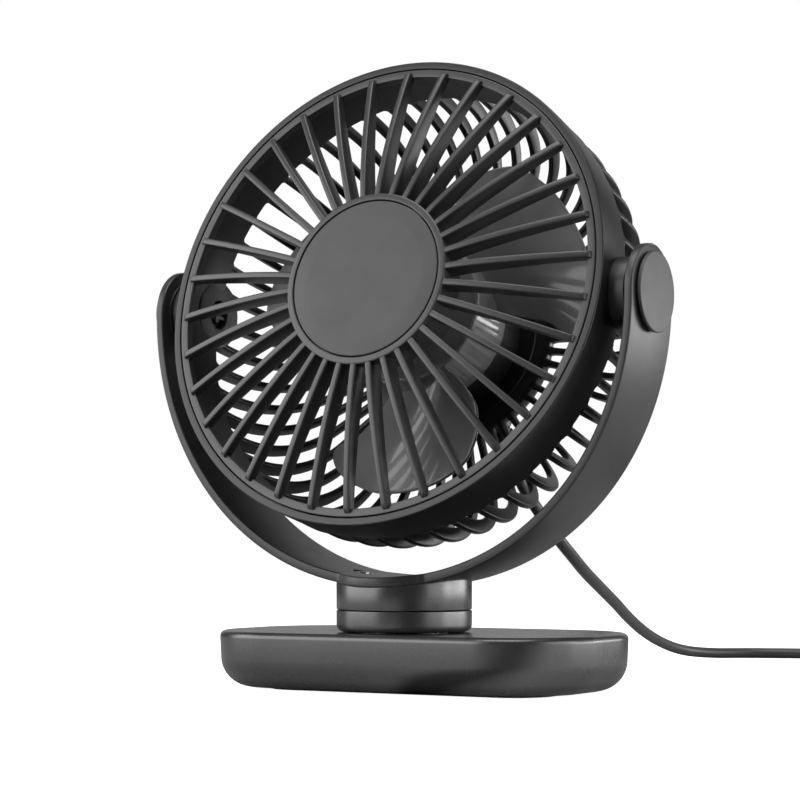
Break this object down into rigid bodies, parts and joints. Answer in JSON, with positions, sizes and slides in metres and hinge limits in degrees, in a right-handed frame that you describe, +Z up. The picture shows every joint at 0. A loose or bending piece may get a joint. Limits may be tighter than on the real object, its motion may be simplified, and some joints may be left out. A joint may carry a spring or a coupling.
{
  "type": "desk fan",
  "caption": "Small round desk fan on a U-shaped yoke that swivels on a flat weighted base, with a tilting caged head and a thin USB power cord.",
  "frame": {"origin": "where the swivel axis meets the surface that the fan stands on, on the underside of the rubber pad", "axes": "+Z up along the swivel axis, -Y the way the fan faces at rest, +X to the viewer's right when facing the fan"},
  "size_m": [0.217, 0.287, 0.1959],
  "materials": {
    "satin_plastic": "satin dark grey moulded plastic with a fine grain",
    "grille_plastic": "satin dark grey moulded plastic",
    "cap_plastic": "satin mid grey plastic",
    "smoked_plastic": "glossy smoked plastic",
    "black_plastic": "matt black plastic",
    "rubber": "matt black rubber",
    "steel": "bright plated steel",
    "black_screw": "blackened steel",
    "bearing_bronze": "sintered bronze",
    "copper": "enamelled copper wire",
    "nylon": "natural white nylon",
    "board": "green circuit board",
    "cord_jacket": "matt dark grey cord jacket"
  },
  "bodies": {
    "base": {"rubber_pad": "rubber", "base_plate": "black_plastic", "base_weight": "steel", "base_shell": "satin_plastic", "base_screw_1": "steel", "base_screw_2": "steel", "base_screw_3": "steel", "base_screw_4": "steel", "neck_lower": "satin_plastic", "collar_nut": "black_plastic", "wave_washer": "steel"},
    "yoke": {"neck_upper": "satin_plastic", "swivel_washer": "steel", "swivel_screw": "steel", "yoke": "satin_plastic", "yoke_screw_left": "steel", "yoke_screw_right": "steel", "pivot_cap_left": "cap_plastic", "pivot_cap_right": "cap_plastic", "cord_lead": "cord_jacket", "cord_coil": "cord_jacket", "cord_tie": "black_plastic", "cord_tail": "cord_jacket", "plug_relief": "cord_jacket", "plug_housing": "cord_jacket", "plug_shell": "steel", "plug_insert": "nylon"},
    "head": {"rear_housing": "satin_plastic", "front_grille": "grille_plastic", "hub_badge": "grille_plastic", "motor_bracket": "black_plastic", "motor_can": "steel", "motor_winding": "copper", "motor_end_cap": "nylon", "front_bearing": "bearing_bronze", "motor_screw_1": "steel", "motor_screw_2": "steel", "rear_cover": "satin_plastic", "circuit_board": "board", "tact_switch": "black_plastic", "cord_relief": "cord_jacket", "pivot_screw_left": "black_screw", "pivot_screw_right": "black_screw", "friction_washer_left": "black_plastic", "friction_washer_right": "black_plastic"},
    "impeller": {"impeller": "smoked_plastic", "motor_shaft": "steel"},
    "speed_button": {"speed_button": "cap_plastic"}
  },
  "joints": [
    {"name": "neck_swivel", "type": "hinge", "parent": "base", "child": "yoke", "pos_m": [0, 0, 0.02535], "axis": [0, 0, 1], "range_deg": [-90, 90]},
    {"name": "head_tilt", "type": "hinge", "parent": "yoke", "child": "head", "pos_m": [0, 0, 0.1195], "axis": [-1, 0, 0], "range_deg": [-40, 75], "deforming": ["cord_lead"]},
    {"name": "impeller_spin", "type": "hinge", "parent": "head", "child": "impeller", "pos_m": [0, 0, 0.1195], "axis": [0, 0.9659, -0.2588], "continuous": true},
    {"name": "speed_button_press", "type": "slide", "parent": "head", "child": "speed_button", "axis": [0, -0.9659, 0.2588], "range_m": [0, 0.0007], "stiffness_N_per_m": 500, "springref_m": -0.0006}
  ]
}
